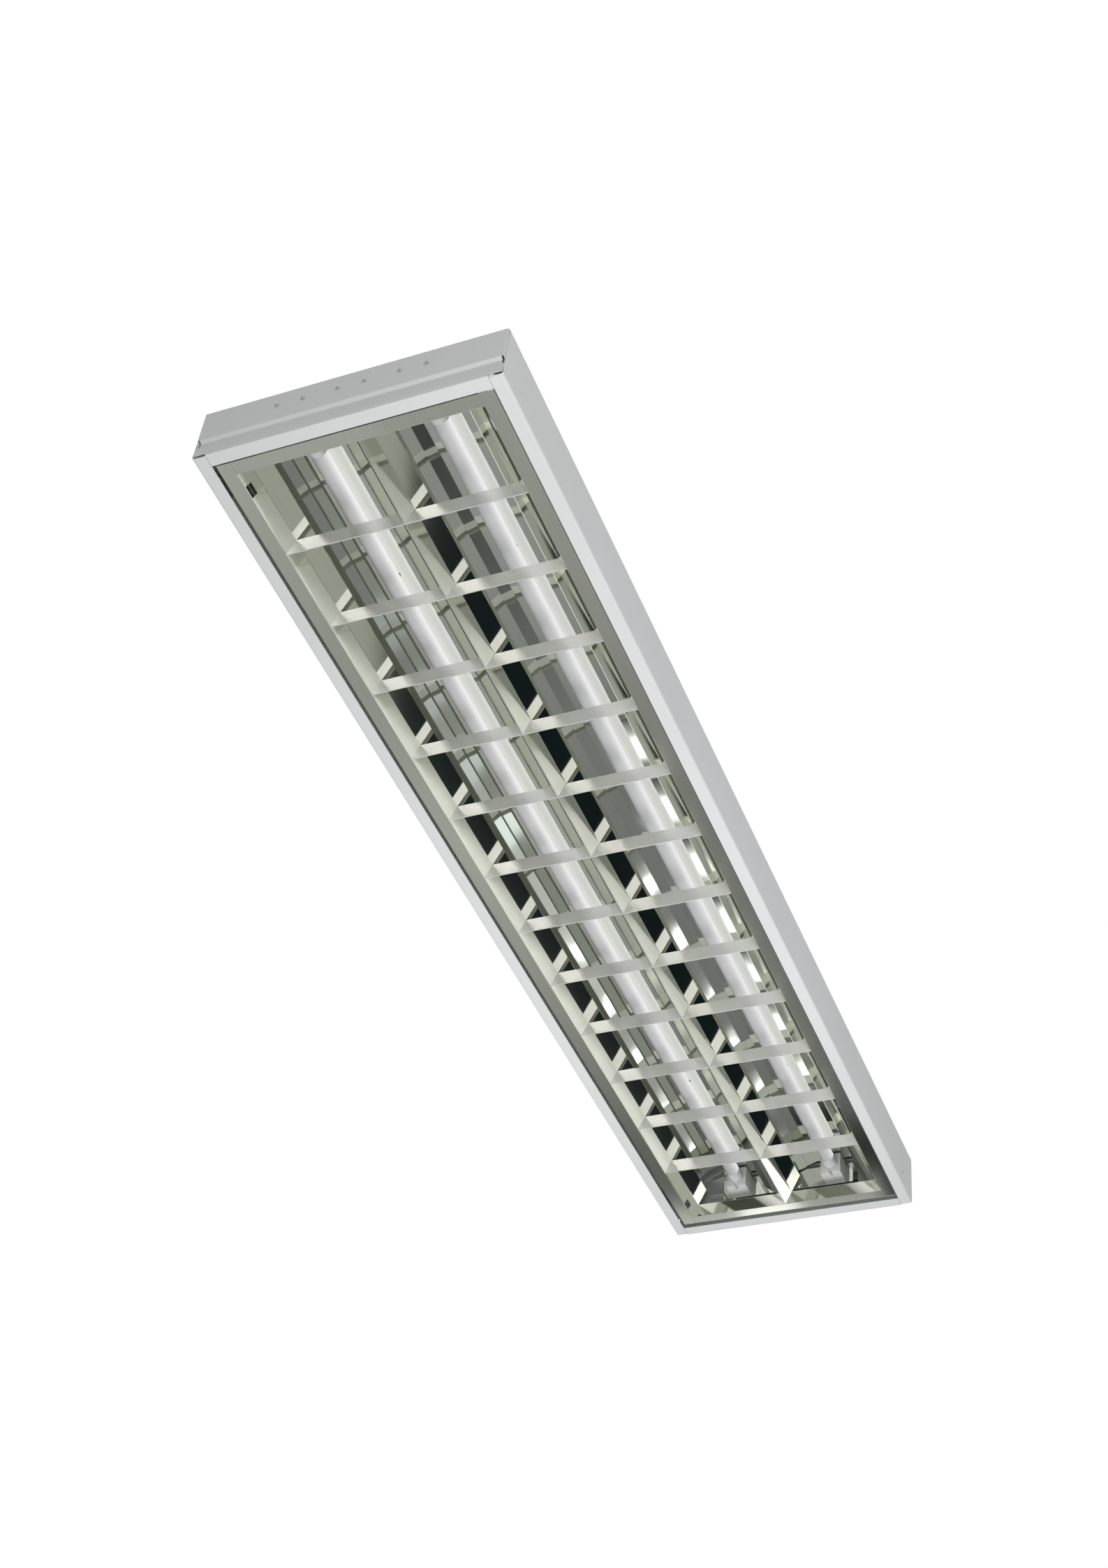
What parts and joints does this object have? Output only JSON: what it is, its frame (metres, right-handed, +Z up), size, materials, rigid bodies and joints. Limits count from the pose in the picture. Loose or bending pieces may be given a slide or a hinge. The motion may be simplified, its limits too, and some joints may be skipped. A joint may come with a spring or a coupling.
{
  "type": "surface mounted louvre light",
  "caption": "Long flat ceiling light: white folded steel body, mirror reflectors over slim fluorescent tubes, and a hinged cross-blade louvre held by spring catches.",
  "frame": {"origin": "centre of the top face that lies against the ceiling", "axes": "+Z up to the ceiling, +X along the light from the near end to the far end, +Y to the hinge side"},
  "size_m": [1.2356, 0.2916, 0.061],
  "materials": {
    "body_paint": "satin white powder coat",
    "rivet_metal": "satin rivets and studs",
    "plated_steel": "zinc plated sheet",
    "bright_steel": "bright pins and screws",
    "holder_plastic": "matt white moulding",
    "lead_white": "white insulation",
    "mirror_sheet": "polished mirror sheet",
    "louvre_mirror": "polished mirror sheet",
    "blade_metal": "ribbed half-bright sheet",
    "lamp_glass": "white coated tube",
    "lamp_cap": "satin end cap",
    "contact_brass": "brass contacts",
    "spring_steel": "spring strip",
    "gear_paint": "light grey case",
    "terminal_plastic": "pale terminal moulding",
    "lead_earth": "green insulation",
    "lead_supply": "dark insulation",
    "grommet_rubber": "black rubber"
  },
  "bodies": {
    "housing": {"body_channel": "body_paint", "end_cap_near": "body_paint", "end_cap_far": "body_paint", "end_rivets": "rivet_metal", "wall_rivets": "rivet_metal", "holder_bracket_near": "plated_steel", "holder_bracket_far": "plated_steel", "lampholder_left_near": "holder_plastic", "lampholder_left_far": "holder_plastic", "lampholder_right_near": "holder_plastic", "lampholder_right_far": "holder_plastic", "reflector_left": "mirror_sheet", "reflector_right": "mirror_sheet", "reflector_studs": "rivet_metal", "hinge_bracket_near": "plated_steel", "hinge_bracket_far": "plated_steel", "catch_bracket_near": "plated_steel", "catch_bracket_far": "plated_steel", "pivot_pins": "bright_steel", "gear_case": "gear_paint", "gear_terminals": "terminal_plastic", "gear_screws": "bright_steel", "terminal_block": "terminal_plastic", "terminal_screws": "bright_steel", "earth_stud": "contact_brass", "earth_lead": "lead_earth", "cable_grommet": "grommet_rubber", "supply_leads": "lead_supply", "lamp_lead_left_near": "lead_white", "lamp_lead_left_far": "lead_white", "lamp_lead_right_near": "lead_white", "lamp_lead_right_far": "lead_white"},
    "louvre": {"louvre_side_left": "louvre_mirror", "louvre_side_right": "louvre_mirror", "louvre_end_near": "louvre_mirror", "louvre_end_far": "louvre_mirror", "louvre_spine": "louvre_mirror", "blade_01": "blade_metal", "blade_02": "blade_metal", "blade_03": "blade_metal", "blade_04": "blade_metal", "blade_05": "blade_metal", "blade_06": "blade_metal", "blade_07": "blade_metal", "blade_08": "blade_metal", "blade_09": "blade_metal", "blade_10": "blade_metal", "blade_11": "blade_metal", "blade_12": "blade_metal"},
    "lamp_left": {"lamp_left_tube": "lamp_glass", "lamp_left_caps": "lamp_cap", "lamp_left_pins": "contact_brass", "lamp_left_rotors": "holder_plastic"},
    "lamp_right": {"lamp_right_tube": "lamp_glass", "lamp_right_caps": "lamp_cap", "lamp_right_pins": "contact_brass", "lamp_right_rotors": "holder_plastic"},
    "catch_near": {"catch_near": "spring_steel"},
    "catch_far": {"catch_far": "spring_steel"}
  },
  "joints": [
    {"name": "louvre_swing", "type": "hinge", "parent": "housing", "child": "louvre", "pos_m": [0, 0.125, -0.053], "axis": [1, 0, 0], "range_deg": [0, 90]},
    {"name": "lamp_left_turn", "type": "hinge", "parent": "housing", "child": "lamp_left", "pos_m": [0, 0.05825, -0.0175], "axis": [1, 0, 0], "range_deg": [0, 90]},
    {"name": "lamp_right_turn", "type": "hinge", "parent": "housing", "child": "lamp_right", "pos_m": [0, -0.05825, -0.0175], "axis": [1, 0, 0], "range_deg": [0, 90]},
    {"name": "catch_near_press", "type": "hinge", "parent": "housing", "child": "catch_near", "pos_m": [-0.565, -0.138, -0.03], "axis": [-1, 0, 0], "range_deg": [0, 8], "stiffness_Nm_per_rad": 0.5},
    {"name": "catch_far_press", "type": "hinge", "parent": "housing", "child": "catch_far", "pos_m": [0.565, -0.138, -0.03], "axis": [-1, 0, 0], "range_deg": [0, 8], "stiffness_Nm_per_rad": 0.5}
  ]
}
